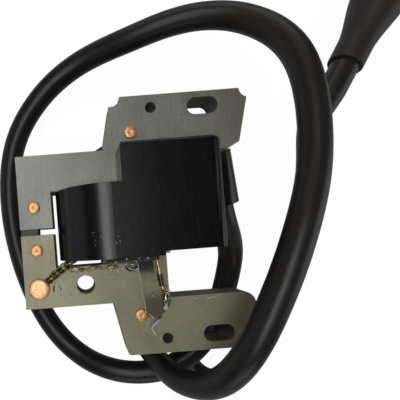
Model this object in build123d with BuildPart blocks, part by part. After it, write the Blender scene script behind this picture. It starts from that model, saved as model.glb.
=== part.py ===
"""Flywheel ignition coil of a small petrol engine, with its laminated armature and high-tension lead.

Frame: millimetres. The two lamination stacks lie flat in the XY plane, their rear face at Z = 0 and
their front face at Z = STACK_T. The pole faces look towards the flywheel along -X. The origin is
midway between the two small pilot holes, on the rear face.
"""

import os
from math import cos, radians, sin

from build123d import *

os.makedirs("parts", exist_ok=True)

# ---------------------------------------------------------------- driving dimensions
CLEAR = 0.02  # assembly gap between pieces that touch

# Lamination stacks
STACK_T = 9.5
POLE_X = -43.0
BAR_RIGHT_X = -32.8
POLE_GAP = 1.9
ARM_OUTER_Y = 23.7
ARM_END_X = -15.8
UPPER_WINDOW_Y = 12.1
LOWER_WINDOW_Y = -11.5
LIMB_LEFT_X = -9.5
LIMB_RIGHT_X = 1.5
LEG_TOP_Y = 39.8
LEG_BOTTOM_Y = -40.2
LEG_CORNER_X = -12.3
LEG_RIGHT_X = 30.6
LEG_RIGHT_INNER_X = 26.7
LEG_UPPER_INNER_Y = 21.5
LEG_LOWER_INNER_Y = -23.1
CORNER_NOTCH_R = 2.9
ROOT_RELIEF_R = 2.0

# Holes in the stacks
PILOT_HOLE_R = 1.65
PILOT_HOLE_Y = 35.75
SLOT_LENGTH = 9.5
SLOT_WIDTH = 5.15
SLOT_X = 16.0
SLOT_Y = 35.3
ARM_HOLE_R = 2.8
ARM_HOLE_POS = (-24.0, -17.3)

# Rivets
RIVET_SHANK_R = 1.45
RIVET_HEAD_R = 1.95
RIVET_HEAD_H = 0.7
GROUND_HEAD_R = 3.25
GROUND_HEAD_H = 1.3
UPPER_RIVETS = [(-38.3, 7.6), (-6.8, 28.5)]
LOWER_RIVETS = [(-38.4, -5.8), (-7.6, -28.0)]
GROUND_RIVET_POS = (-38.5, -17.6)

# Coil case: a housing round the core limb, with a block that laps over the upper leg
CORE_MID_X = (LIMB_LEFT_X + LIMB_RIGHT_X) / 2
CORE_MID_Z = STACK_T / 2
LIMB_W = LIMB_RIGHT_X - LIMB_LEFT_X
COIL_HALF_DEPTH = 16.5
COIL_LEFT_X = -31.6
COIL_RIGHT_X = 17.0
COIL_TOP_Y = 12.0
COIL_BOTTOM_Y = -9.4
COIL_CORNER_R = 4.0
BLOCK_EDGE_R = 1.2
ROUND_END_X = COIL_LEFT_X + COIL_HALF_DEPTH
STEP_X = -1.5
STEP_H = 1.2
CASE_WALL = 1.6
BLOCK_LEFT_X = -12.0
BLOCK_TOP_Y = 23.0
BLOCK_SIDE_X = 2.2
COIL_FRONT_Z = CORE_MID_Z + COIL_HALF_DEPTH
COIL_REAR_Z = CORE_MID_Z - COIL_HALF_DEPTH

# Windings on the limb
LIMB_GAP = 0.15
BOBBIN_WALL = 1.0
BOBBIN_TOP_Y = 10.2
BOBBIN_BOTTOM_Y = -8.2
FLANGE_T = 0.9
FLANGE_HALF_X = 14.75
FLANGE_HALF_Z = 14.0
FLANGE_CORNER_R = 4.0
TUBE_CORNER_R = 0.8
LAYERS = {
    "primary_winding": 2.5,
    "primary_insulation": 0.4,
    "secondary_former": 0.8,
    "secondary_winding": 3.8,
    "secondary_wrap": 0.35,
}

# High-tension lead, its boss on the case and the boot on its end
LEAD_R = 4.0
CONDUCTOR_R = 1.2
BOSS_R = 5.75
BOSS_ROOF_T = 1.5
LEAD_PAD_T = 3.2
LEAD_PAD_BOTTOM_Y = -4.0
POINTS_PER_BEND = 4
LEAD_START = Vector(16.8, 18.4, 11.1)
BOSS_MOUTH = Vector(19.4, 4.5, 8.3)
BOOT_BACK = Vector(62.0, 44.6, 8.0)
BOOT_DIR = Vector(0.526, 0.85, 0.0).normalized()
STRAIGHT_BEFORE_BOOT = 8.0
LEAD_IN_BOOT = 22.0
BOOT_LENGTH = 46.0
BOOT_NECK_R = 4.9
BOOT_NECK_LENGTH = 8.0
BOOT_FLARE_END = 28.0
BOOT_BODY_R = 8.0
BOOT_LIP_R = 8.6
BOOT_LIP_LENGTH = 3.0
BOOT_RUNNING_GAP = 0.05
SOCKET_R = 5.75
SOCKET_START = 20.5

# Snap terminal in the boot
CLIP_INNER_R = 3.2
CLIP_WALL = 0.5
CLIP_BASE_R = 4.4
CLIP_BASE_T = 0.8
CLIP_LENGTH = 16.0
CLIP_SLIT = 1.2
SPRING_WIRE_R = 0.35

# Primary terminal strap beside the coil
STRAP_T = 0.5
INSULATOR_T = 0.7
STRAP_Z = STACK_T + INSULATOR_T + 2 * CLEAR
STRAP_TOP_Z = STRAP_Z + STRAP_T
HOOK_HEIGHT = 2.4
PRIMARY_WIRE_R = 0.45
SLEEVE_R = 0.8
WIRE_START = Vector(-2.2, COIL_BOTTOM_Y - CLEAR, 11.5)
WIRE_BEND = Vector(-1.0, -20.0, 11.6)
WIRE_END = Vector(0.0, -22.6, 11.1)
SOLDER_R = 1.35

# Twisted ground wires
GROUND_WIRE_R = 0.5
GROUND_TWIST_R = 0.62
GROUND_TURNS = 1.5
GROUND_WIRE_START = Vector(-26.9, COIL_BOTTOM_Y + 0.3, 10.9)
GROUND_WIRE_END = Vector(-35.7, -15.4, 10.75)


def finish(builder, name):
    """Label one finished piece and write it as its own STEP file."""
    builder.part.label = name
    export_step(builder.part, f"parts/{name}.step")


# ---------------------------------------------------------------- lamination stacks
upper_outline = [
    (POLE_X, POLE_GAP / 2),
    (BAR_RIGHT_X, POLE_GAP / 2),
    (BAR_RIGHT_X, UPPER_WINDOW_Y),
    (LIMB_RIGHT_X, UPPER_WINDOW_Y),
    (LIMB_RIGHT_X, LEG_UPPER_INNER_Y),
    (LEG_RIGHT_INNER_X - 3.6, LEG_UPPER_INNER_Y),
    (LEG_RIGHT_INNER_X, LEG_UPPER_INNER_Y + 1.9),
    (LEG_RIGHT_X, LEG_TOP_Y),
    (LEG_CORNER_X, LEG_TOP_Y),
    (ARM_END_X, ARM_OUTER_Y),
    (POLE_X, ARM_OUTER_Y),
]
lower_outline = [
    (POLE_X, -POLE_GAP / 2),
    (BAR_RIGHT_X, -POLE_GAP / 2),
    (BAR_RIGHT_X, LOWER_WINDOW_Y),
    (LIMB_LEFT_X, LOWER_WINDOW_Y),
    (LIMB_LEFT_X, UPPER_WINDOW_Y - CLEAR),
    (LIMB_RIGHT_X, UPPER_WINDOW_Y - CLEAR),
    (LIMB_RIGHT_X, LEG_LOWER_INNER_Y),
    (LEG_RIGHT_INNER_X + 0.6, LEG_LOWER_INNER_Y),
    (LEG_RIGHT_X + 0.6, LEG_BOTTOM_Y),
    (LEG_CORNER_X, LEG_BOTTOM_Y),
    (ARM_END_X, -ARM_OUTER_Y),
    (POLE_X, -ARM_OUTER_Y),
]

with BuildPart() as upper_laminations:
    with BuildSketch():
        with BuildLine():
            Polyline(*upper_outline, close=True)
        make_face()
        with Locations((LEG_CORNER_X, LEG_TOP_Y), (LEG_RIGHT_X, LEG_TOP_Y)):
            Circle(CORNER_NOTCH_R, mode=Mode.SUBTRACT)
        with Locations((0, PILOT_HOLE_Y)):
            Circle(PILOT_HOLE_R, mode=Mode.SUBTRACT)
        with Locations((SLOT_X, SLOT_Y)):
            SlotOverall(SLOT_LENGTH, SLOT_WIDTH, mode=Mode.SUBTRACT)
        with Locations(*UPPER_RIVETS):
            Circle(RIVET_SHANK_R + CLEAR, mode=Mode.SUBTRACT)
    extrude(amount=STACK_T)
finish(upper_laminations, "upper_laminations")

with BuildPart() as lower_laminations:
    with BuildSketch() as lower_plan:
        with BuildLine():
            Polyline(*lower_outline, close=True)
        make_face()
        leg_corners = lower_plan.vertices().sort_by(Axis.X)
        fillet(leg_corners[-2], 4.0)
        fillet(lower_plan.vertices().sort_by_distance((LEG_CORNER_X, LEG_BOTTOM_Y))[0], 1.2)
        with Locations((LIMB_LEFT_X, LOWER_WINDOW_Y - 0.8)):
            Circle(ROOT_RELIEF_R, mode=Mode.SUBTRACT)
        with Locations((0, -PILOT_HOLE_Y)):
            Circle(PILOT_HOLE_R, mode=Mode.SUBTRACT)
        with Locations((SLOT_X, -SLOT_Y)):
            SlotOverall(SLOT_LENGTH, SLOT_WIDTH, mode=Mode.SUBTRACT)
        with Locations(ARM_HOLE_POS):
            Circle(ARM_HOLE_R, mode=Mode.SUBTRACT)
        with Locations(*LOWER_RIVETS, GROUND_RIVET_POS):
            Circle(RIVET_SHANK_R + CLEAR, mode=Mode.SUBTRACT)
    extrude(amount=STACK_T)
finish(lower_laminations, "lower_laminations")

# A strip of insulation sets the gap between the two pole bars.
with BuildPart() as gap_spacer:
    with Locations((POLE_X + 2.7, 0, CORE_MID_Z)):
        Box(5.0, POLE_GAP - 2 * CLEAR, STACK_T - 0.8)
finish(gap_spacer, "gap_spacer")


# ---------------------------------------------------------------- rivets
def add_rivets(places, head_r, head_h):
    """Shank through the stack with a flat head on each face, added to the part being built."""
    bottom = Align.MIN
    with Locations(*[(x, y, -head_h) for x, y in places]):
        Cylinder(RIVET_SHANK_R, STACK_T + 2 * head_h, align=(Align.CENTER, Align.CENTER, bottom))
    with Locations(*[(x, y, STACK_T + CLEAR) for x, y in places]):
        Cylinder(head_r, head_h, align=(Align.CENTER, Align.CENTER, bottom))
    with Locations(*[(x, y, -head_h - CLEAR) for x, y in places]):
        Cylinder(RIVET_HEAD_R, head_h, align=(Align.CENTER, Align.CENTER, bottom))


def round_heads(builder, radius):
    """Round the outer rims of the rivet heads at both ends."""
    rims = builder.edges().filter_by(GeomType.CIRCLE).group_by(Axis.Z)
    fillet(rims[0] + rims[-1], radius)


with BuildPart() as upper_stack_rivets:
    add_rivets(UPPER_RIVETS, RIVET_HEAD_R, RIVET_HEAD_H)
    round_heads(upper_stack_rivets, 0.3)
finish(upper_stack_rivets, "upper_stack_rivets")

with BuildPart() as lower_stack_rivets:
    add_rivets(LOWER_RIVETS, RIVET_HEAD_R, RIVET_HEAD_H)
    round_heads(lower_stack_rivets, 0.3)
finish(lower_stack_rivets, "lower_stack_rivets")

with BuildPart() as ground_rivet:
    add_rivets([GROUND_RIVET_POS], GROUND_HEAD_R, GROUND_HEAD_H)
    round_heads(ground_rivet, 0.35)
finish(ground_rivet, "ground_rivet")

# ---------------------------------------------------------------- course of the high-tension lead
# The lead leaves the boss downwards, passes behind the lower leg, makes one open turn round the
# armature that ends high in front of the right-hand side, dives behind the lower leg, turns back
# behind the coil, follows the first turn from below and ends in the boot.
first_turn = [
    (27.0, -12.5, -4.0),
    (25.5, -25.0, -8.0),
    (19.5, -40.0, -9.5),
    (8.0, -50.5, -10.0),
    (-5.0, -53.6, -10.8),
    (-17.0, -52.3, -13.0),
    (-29.5, -46.5, -18.5),
    (-41.0, -32.0, -21.5),
    (-49.0, -8.0, -21.5),
    (-51.0, 15.0, -20.5),
    (-46.0, 38.0, -18.0),
    (-35.0, 52.0, -14.5),
    (-20.0, 61.0, -10.0),
    (-3.0, 64.0, -2.5),
    (14.3, 65.5, 4.0),
    (29.1, 61.1, 10.0),
    (38.9, 48.9, 17.0),
    (40.8, 29.4, 22.5),
    (37.1, 8.8, 26.0),
    (30.1, -7.3, 29.0),
    (22.6, -23.7, 29.0),
    (15.5, -38.0, 26.0),
    (9.5, -48.0, 16.5),
    (3.5, -50.3, 6.0),
    (-1.5, -46.5, -5.5),
]
turn_back = [
    (-6.5, -37.0, -14.5),
    (-10.0, -20.0, -19.5),
    (-14.8, -2.0, -20.5),
    (-19.8, 12.5, -21.0),
    (-18.5, 22.5, -21.0),
    (-12.0, 29.2, -21.0),
    (-3.0, 30.0, -21.0),
    (4.0, 24.5, -21.0),
    (6.5, 14.0, -21.0),
    (4.3, -3.0, -21.0),
    (3.5, -19.0, -21.0),
    (7.0, -35.0, -20.8),
]
second_turn = [
    (11.5, -48.0, -20.6),
    (14.8, -56.0, -19.8),
    (20.5, -60.8, -17.8),
    (27.0, -59.3, -14.0),
    (31.5, -51.5, -10.0),
    (36.0, -40.5, -6.0),
    (42.6, -29.0, -5.0),
    (49.6, -10.5, -1.0),
    (51.6, 6.0, 2.0),
    (51.5, 19.8, 5.0),
    (51.9, 28.6, 6.8),
]
lead_axis_up = (LEAD_START - BOSS_MOUTH).normalized()
lead_straight = BOOT_BACK - BOOT_DIR * STRAIGHT_BEFORE_BOOT
lead_points = [BOSS_MOUTH]
lead_points += [Vector(*p) for p in first_turn + turn_back + second_turn]
lead_points += [lead_straight]


def lead_tangent(index):
    """Direction of the lead at one of its points."""
    if index == 0:
        return -lead_axis_up
    if index == len(lead_points) - 1:
        return BOOT_DIR
    return (lead_points[index + 1] - lead_points[index - 1]).normalized()


def lead_bend(start):
    """One smooth stretch of the lead, from the given point over the next few."""
    end = min(start + POINTS_PER_BEND, len(lead_points) - 1)
    return Spline(
        *lead_points[start : end + 1],
        tangents=[lead_tangent(start), lead_tangent(end)],
        tangent_scalars=[1, 1],
        mode=Mode.PRIVATE,
    )


# ---------------------------------------------------------------- coil case and potting
section_plane = Plane(origin=(0, COIL_TOP_Y, 0), x_dir=(1, 0, 0), z_dir=(0, -1, 0))


def housing(inset, length, mode):
    """Housing across the core: half-round on the left, small corners on the right."""
    half = COIL_HALF_DEPTH - inset
    right = COIL_RIGHT_X - inset
    with BuildSketch(section_plane.offset(inset)) as section:
        with Locations((ROUND_END_X, CORE_MID_Z)):
            Circle(half)
        with Locations(((ROUND_END_X + right) / 2, CORE_MID_Z)):
            Rectangle(right - ROUND_END_X, 2 * half)
        fillet(section.vertices().sort_by(Axis.X)[-2:], COIL_CORNER_R - inset)
    extrude(section.sketch, amount=length, mode=mode)


def box_between(low, high, mode=Mode.ADD):
    """Box from its lowest to its highest corner."""
    size = [b - a for a, b in zip(low, high)]
    with Locations(Vector(*low)):
        Box(*size, align=(Align.MIN, Align.MIN, Align.MIN), mode=mode)


def cavity(mode):
    """Hollow of the case, open at the lower end."""
    housing(CASE_WALL, COIL_TOP_Y - COIL_BOTTOM_Y - CASE_WALL, mode)
    box_between(
        (BLOCK_LEFT_X + CASE_WALL, COIL_TOP_Y - CASE_WALL - 1, STACK_T + 2),
        (COIL_RIGHT_X - 3.6, BLOCK_TOP_Y - CASE_WALL, COIL_FRONT_Z - CASE_WALL),
        mode,
    )


def step(mode):
    """The part of the lower end, right of the core, that stands back from the rest."""
    box_between(
        (STEP_X, COIL_BOTTOM_Y - 1, COIL_REAR_Z - 1),
        (COIL_RIGHT_X + 1, COIL_BOTTOM_Y + STEP_H, COIL_FRONT_Z + 1),
        mode,
    )


mouth_plane = Plane(origin=BOSS_MOUTH, z_dir=lead_axis_up)


def boss(mode):
    """Round boss that holds the start of the lead."""
    with BuildSketch(mouth_plane) as boss_section:
        Circle(BOSS_R)
    extrude(boss_section.sketch, amount=(LEAD_START - BOSS_MOUTH).length + BOSS_ROOF_T, mode=mode)


def lead_pad(mode):
    """Thicker stretch of the right wall, behind the recess in which the lead lies."""
    box_between(
        (COIL_RIGHT_X - LEAD_PAD_T, LEAD_PAD_BOTTOM_Y, BOSS_MOUTH.Z - BOSS_R),
        (COIL_RIGHT_X - CASE_WALL / 2, COIL_TOP_Y - CASE_WALL, BOSS_MOUTH.Z + BOSS_R),
        mode,
    )


def limb_window(gap, mode):
    """Square way for the core limb through everything wound on it."""
    with Locations((CORE_MID_X, 0, CORE_MID_Z)):
        Box(LIMB_W + 2 * gap, 4 * COIL_TOP_Y, STACK_T + 2 * gap, mode=mode)


with BuildPart() as coil_case:
    housing(0, COIL_TOP_Y - COIL_BOTTOM_Y, Mode.ADD)
    with BuildSketch(section_plane.offset(COIL_TOP_Y - BLOCK_TOP_Y)) as block_section:
        with Locations((BLOCK_LEFT_X, STACK_T + 0.1)):
            Rectangle(
                COIL_RIGHT_X - BLOCK_LEFT_X,
                COIL_FRONT_Z - STACK_T - 0.1,
                align=(Align.MIN, Align.MIN),
            )
        front_right = block_section.vertices().sort_by_distance((COIL_RIGHT_X, COIL_FRONT_Z))[0]
        fillet(front_right, COIL_CORNER_R)
    extrude(amount=BLOCK_TOP_Y - COIL_TOP_Y + 2)
    block_end = coil_case.faces().sort_by(Axis.Y)[-1]
    fillet(block_end.edges().sort_by(Axis.Z)[1:], BLOCK_EDGE_R)
    box_between(
        (BLOCK_SIDE_X, COIL_TOP_Y - 2, COIL_REAR_Z + COIL_CORNER_R),
        (COIL_RIGHT_X - 0.1, LEG_UPPER_INNER_Y - 0.3, STACK_T + 0.2),
    )
    step(Mode.SUBTRACT)
    cavity(Mode.SUBTRACT)
    boss(Mode.ADD)
    lead_pad(Mode.ADD)
    limb_window(LIMB_GAP, Mode.SUBTRACT)
    with BuildSketch(mouth_plane):
        Circle(LEAD_R + BOOT_RUNNING_GAP)
    extrude(amount=(LEAD_START - BOSS_MOUTH).length, mode=Mode.SUBTRACT)
    with BuildSketch(mouth_plane):
        Circle(LEAD_R + BOOT_RUNNING_GAP)
    sweep(path=lead_bend(0), mode=Mode.SUBTRACT)

# ---------------------------------------------------------------- contact and tail inside the boss
contact_plane = Plane(origin=LEAD_START + lead_axis_up * CLEAR, z_dir=lead_axis_up)
CONTACT_R = 2.2
CONTACT_T = 0.8
TAIL_R = 0.3
TAIL_SIDE_RUN = 7.0
TAIL_RISE = 1.5
contact_middle = contact_plane.origin + lead_axis_up * (CONTACT_T / 2)
contact_side = lead_axis_up.cross(Vector(0, 0, 1)).normalized()
tail_start = Vector(CORE_MID_X + 12.0, BOBBIN_TOP_Y + TAIL_R + 2 * CLEAR, 13.0)
tail_corner = contact_middle - contact_side * TAIL_SIDE_RUN + Vector(0, 0, TAIL_RISE)
tail_end = contact_middle - contact_side * (CONTACT_R - CLEAR)

with BuildPart() as hv_contact:
    with BuildSketch(contact_plane):
        Circle(CONTACT_R)
    extrude(amount=CONTACT_T)
finish(hv_contact, "hv_contact")


def tail_wire(radius, mode=Mode.ADD):
    """Wire that rises beside the boss and runs in above the lead's end to the contact."""
    with BuildLine() as tail_path:
        Polyline(tail_start, tail_corner, tail_end)
    with BuildSketch(Plane(origin=tail_start, z_dir=tail_corner - tail_start)) as tail_section:
        Circle(radius)
    sweep(tail_section.sketch, path=tail_path.wire(), transition=Transition.ROUND, mode=mode)


with BuildPart() as secondary_tail:
    tail_wire(TAIL_R)
    add(hv_contact.part, mode=Mode.SUBTRACT)
finish(secondary_tail, "secondary_tail")


def tail_way():
    """Way for the contact and the tail wire, cut from the part being built."""
    with BuildSketch(contact_plane.offset(-CLEAR)) as contact_seat:
        Circle(CONTACT_R + CLEAR)
    extrude(contact_seat.sketch, amount=CONTACT_T + 2 * CLEAR, mode=Mode.SUBTRACT)
    tail_wire(TAIL_R + 3 * CLEAR, Mode.SUBTRACT)


with coil_case:
    tail_way()
finish(coil_case, "coil_case")


# ---------------------------------------------------------------- bobbin, windings and insulation
def rounded_bar(half_x, half_z, corner_r, y_top, y_bottom, mode=Mode.ADD):
    """Bar along Y with a rounded rectangular section centred on the limb."""
    end_plane = Plane(origin=(CORE_MID_X, y_top, CORE_MID_Z), x_dir=(1, 0, 0), z_dir=(0, -1, 0))
    with BuildSketch(end_plane) as bar_section:
        RectangleRounded(2 * half_x, 2 * half_z, corner_r)
    extrude(bar_section.sketch, amount=y_top - y_bottom, mode=mode)


tube_half_x = LIMB_W / 2 + LIMB_GAP + BOBBIN_WALL
tube_half_z = STACK_T / 2 + LIMB_GAP + BOBBIN_WALL

with BuildPart() as potting:
    cavity(Mode.ADD)
    step(Mode.SUBTRACT)
    rounded_bar(
        FLANGE_HALF_X + CLEAR,
        FLANGE_HALF_Z + CLEAR,
        FLANGE_CORNER_R,
        BOBBIN_TOP_Y + CLEAR,
        BOBBIN_BOTTOM_Y - CLEAR,
        Mode.SUBTRACT,
    )
    rounded_bar(
        tube_half_x + CLEAR,
        tube_half_z + CLEAR,
        TUBE_CORNER_R,
        COIL_TOP_Y,
        COIL_BOTTOM_Y - 1,
        Mode.SUBTRACT,
    )
    boss(Mode.SUBTRACT)
    lead_pad(Mode.SUBTRACT)
    tail_way()
finish(potting, "potting")

with BuildPart() as primary_bobbin:
    rounded_bar(
        tube_half_x,
        tube_half_z,
        TUBE_CORNER_R,
        COIL_TOP_Y - CASE_WALL - CLEAR,
        COIL_BOTTOM_Y,
    )
    for flange_top in (BOBBIN_TOP_Y, BOBBIN_BOTTOM_Y + FLANGE_T):
        rounded_bar(FLANGE_HALF_X, FLANGE_HALF_Z, FLANGE_CORNER_R, flange_top, flange_top - FLANGE_T)
    limb_window(LIMB_GAP, Mode.SUBTRACT)
finish(primary_bobbin, "primary_bobbin")

depth = CLEAR
for layer_name, thickness in LAYERS.items():
    inner_x = tube_half_x + depth
    inner_z = tube_half_z + depth
    layer_top = BOBBIN_TOP_Y - FLANGE_T - CLEAR
    layer_bottom = BOBBIN_BOTTOM_Y + FLANGE_T + CLEAR
    with BuildPart() as layer:
        rounded_bar(
            inner_x + thickness,
            inner_z + thickness,
            TUBE_CORNER_R + depth + thickness,
            layer_top,
            layer_bottom,
        )
        rounded_bar(
            inner_x,
            inner_z,
            TUBE_CORNER_R + depth,
            layer_top + 1,
            layer_bottom - 1,
            Mode.SUBTRACT,
        )
    finish(layer, layer_name)
    depth += thickness + CLEAR

# ---------------------------------------------------------------- high-tension lead
def lead_bar(outer_r, hole_r=0):
    """Bar or tube along the whole lead: straight in the boss, bent, then straight in the boot."""
    runs = [Line(LEAD_START, BOSS_MOUTH, mode=Mode.PRIVATE)]
    for start in range(0, len(lead_points) - 1, POINTS_PER_BEND):
        runs.append(lead_bend(start))
    lead_end = BOOT_BACK + BOOT_DIR * LEAD_IN_BOOT
    runs.append(Line(lead_straight, lead_end, mode=Mode.PRIVATE))
    for run in runs:
        with BuildSketch(Plane(origin=run @ 0, z_dir=run % 0)) as section:
            Circle(outer_r)
            if hole_r:
                Circle(hole_r, mode=Mode.SUBTRACT)
        sweep(section.sketch, path=run)


with BuildPart() as lead_jacket:
    lead_bar(LEAD_R, CONDUCTOR_R + CLEAR)
finish(lead_jacket, "lead_jacket")

with BuildPart() as lead_conductor:
    lead_bar(CONDUCTOR_R)
finish(lead_conductor, "lead_conductor")


# ---------------------------------------------------------------- boot and snap terminal
def boot_plane(distance):
    """Plane across the boot's axis, a distance in front of its back end."""
    return Plane(origin=BOOT_BACK + BOOT_DIR * distance, z_dir=BOOT_DIR)


boot_side = Plane(origin=BOOT_BACK, x_dir=BOOT_DIR, z_dir=(0, 0, 1))
boot_axis = Axis(BOOT_BACK, BOOT_DIR)

with BuildPart() as plug_boot:
    with BuildSketch(boot_side):
        with BuildLine():
            Polyline(
                (0, LEAD_R + BOOT_RUNNING_GAP),
                (0, BOOT_NECK_R),
                (BOOT_NECK_LENGTH, BOOT_NECK_R),
            )
            Spline(
                (BOOT_NECK_LENGTH, BOOT_NECK_R),
                (BOOT_FLARE_END, BOOT_BODY_R),
                tangents=[(1, 0.1), (1, 0)],
            )
            Polyline(
                (BOOT_FLARE_END, BOOT_BODY_R),
                (BOOT_LENGTH - BOOT_LIP_LENGTH, BOOT_BODY_R),
                (BOOT_LENGTH - BOOT_LIP_LENGTH, BOOT_LIP_R),
                (BOOT_LENGTH, BOOT_LIP_R),
                (BOOT_LENGTH, SOCKET_R),
                (SOCKET_START, SOCKET_R),
                (SOCKET_START, LEAD_R + BOOT_RUNNING_GAP),
                (0, LEAD_R + BOOT_RUNNING_GAP),
            )
        make_face()
    revolve(axis=boot_axis)
    outer_rims = plug_boot.edges().filter_by(GeomType.CIRCLE)
    lip_rims = [e for e in outer_rims if e.radius > BOOT_LIP_R - 0.1]
    neck_rim = [e for e in outer_rims if abs(e.radius - BOOT_NECK_R) < 0.01]
    fillet(lip_rims, 0.28)
    fillet(ShapeList(neck_rim).sort_by(boot_axis)[0], 0.4)
finish(plug_boot, "plug_boot")

clip_start = LEAD_IN_BOOT + 0.05
clip_end = clip_start + CLIP_LENGTH

with BuildPart() as plug_terminal:
    with BuildSketch(boot_plane(clip_start)):
        Circle(CLIP_BASE_R)
    extrude(amount=CLIP_BASE_T)
    with BuildSketch(boot_plane(clip_start)):
        Circle(CLIP_INNER_R + CLIP_WALL)
    extrude(amount=CLIP_LENGTH)
    with BuildSketch(boot_plane(clip_start + 2)):
        Circle(CLIP_INNER_R)
    extrude(amount=CLIP_LENGTH, mode=Mode.SUBTRACT)
    with BuildSketch(boot_plane(clip_start + 5)):
        Rectangle(3 * CLIP_BASE_R, CLIP_SLIT)
        Rectangle(CLIP_SLIT, 3 * CLIP_BASE_R)
    extrude(amount=CLIP_LENGTH, mode=Mode.SUBTRACT)
finish(plug_terminal, "plug_terminal")

with BuildPart() as terminal_spring:
    with Locations(boot_plane(clip_end - 4)):
        Torus(CLIP_INNER_R + CLIP_WALL + SPRING_WIRE_R + CLEAR, SPRING_WIRE_R)
finish(terminal_spring, "terminal_spring")

# ---------------------------------------------------------------- primary terminal strap
strap_left = [(-4.9, -28.9), (-6.3, -27.4), (-7.7, -13.3), (-7.7, COIL_BOTTOM_Y - CLEAR)]
strap_right = [(-2.5, COIL_BOTTOM_Y - CLEAR), (-2.2, -17.7), (0.3, -19.6)]
tab_tip = (1.5, -22.4)
tab_end = (-1.2, -27.7)

with BuildPart() as terminal_insulator:
    with BuildSketch(Plane.XY.offset(STACK_T + CLEAR)):
        with BuildLine():
            Polyline(
                (-5.0, -28.0),
                (-5.8, -27.0),
                (-7.2, -13.3),
                (-7.2, COIL_BOTTOM_Y - CLEAR),
                (-3.0, COIL_BOTTOM_Y - CLEAR),
                (-2.6, -28.0),
                close=True,
            )
        make_face()
    extrude(amount=INSULATOR_T)
finish(terminal_insulator, "terminal_insulator")

with BuildPart() as terminal_strap:
    with BuildSketch(Plane.XY.offset(STRAP_Z)):
        with BuildLine():
            Polyline(*strap_left, *strap_right)
            ThreePointArc(strap_right[-1], tab_tip, tab_end)
            Polyline(tab_end, (-1.7, -29.1), strap_left[0])
        make_face()
    extrude(amount=STRAP_T)
    with BuildSketch(Plane.XY.offset(STRAP_Z)):
        with BuildLine() as hook_line:
            Spline((-2.2, -28.9), (-3.4, -29.6), (-5.3, -31.5), tangents=[(-1, 0), (-0.5, -1)])
            Line((-5.3, -31.5), (-4.4, -33.6))
        trace(hook_line.wire(), line_width=STRAP_T)
    extrude(amount=HOOK_HEIGHT)
    with Locations((-3.9, -22.6, STRAP_TOP_Z - 0.1)):
        Cylinder(0.9, 0.45, align=(Align.CENTER, Align.CENTER, Align.MIN))
    dimple_rim = terminal_strap.edges().filter_by(GeomType.CIRCLE).sort_by(Axis.Z)
    dimple_top = [e for e in dimple_rim if abs(e.radius - 0.9) < 0.01][-1]
    fillet(dimple_top, 0.3)
finish(terminal_strap, "terminal_strap")

with BuildPart() as primary_wire:
    with BuildLine() as wire_path:
        Polyline(WIRE_START, WIRE_BEND, WIRE_END)
    with BuildSketch(Plane(origin=WIRE_START, z_dir=WIRE_BEND - WIRE_START)):
        Circle(PRIMARY_WIRE_R)
    sweep(path=wire_path.wire(), transition=Transition.ROUND)
finish(primary_wire, "primary_wire")

sleeve_plane = Plane(origin=WIRE_START, z_dir=WIRE_BEND - WIRE_START)

with BuildPart() as wire_sleeve:
    with BuildSketch(sleeve_plane.offset(6.2)):
        Circle(SLEEVE_R)
        Circle(PRIMARY_WIRE_R + CLEAR, mode=Mode.SUBTRACT)
    extrude(amount=3.6)
finish(wire_sleeve, "wire_sleeve")

with BuildPart() as solder_joint:
    with Locations((WIRE_END.X, WIRE_END.Y - 0.3, STRAP_TOP_Z)):
        Sphere(SOLDER_R)
    split(bisect_by=Plane.XY.offset(STRAP_TOP_Z + CLEAR), keep=Keep.TOP)
    add(primary_wire.part, mode=Mode.SUBTRACT)
finish(solder_joint, "solder_joint")

# ---------------------------------------------------------------- twisted ground wires
wire_run = GROUND_WIRE_END - GROUND_WIRE_START
twist_plane = Plane(origin=GROUND_WIRE_START, z_dir=wire_run)


def strand_points(phase, steps=12):
    """Points on one strand of the twist, starting at the given angle in degrees."""
    points = []
    for i in range(steps + 1):
        share = i / steps
        angle = radians(phase + 360 * GROUND_TURNS * share)
        local = (GROUND_TWIST_R * cos(angle), GROUND_TWIST_R * sin(angle), wire_run.length * share)
        points.append(twist_plane.from_local_coords(Vector(*local)))
    return points


with BuildPart() as ground_wires:
    for strand_phase in (0, 120, 240):
        with BuildLine() as strand:
            Spline(*strand_points(strand_phase))
        with BuildSketch(Plane(origin=strand.edges()[0] @ 0, z_dir=strand.edges()[0] % 0)):
            Circle(GROUND_WIRE_R)
        sweep(path=strand.wire())
    add(coil_case.part, mode=Mode.SUBTRACT)
    add(potting.part, mode=Mode.SUBTRACT)
finish(ground_wires, "ground_wires")
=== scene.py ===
"""Looks of the flywheel ignition coil: lamination sheets, peened rivets, varnish, solder and materials.

Lengths are millimetres of the CAD frame until the last moment, when MM turns them into metres.
"""
import math
import random

import bmesh
import bpy
from mathutils import Matrix, Vector, noise


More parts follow.
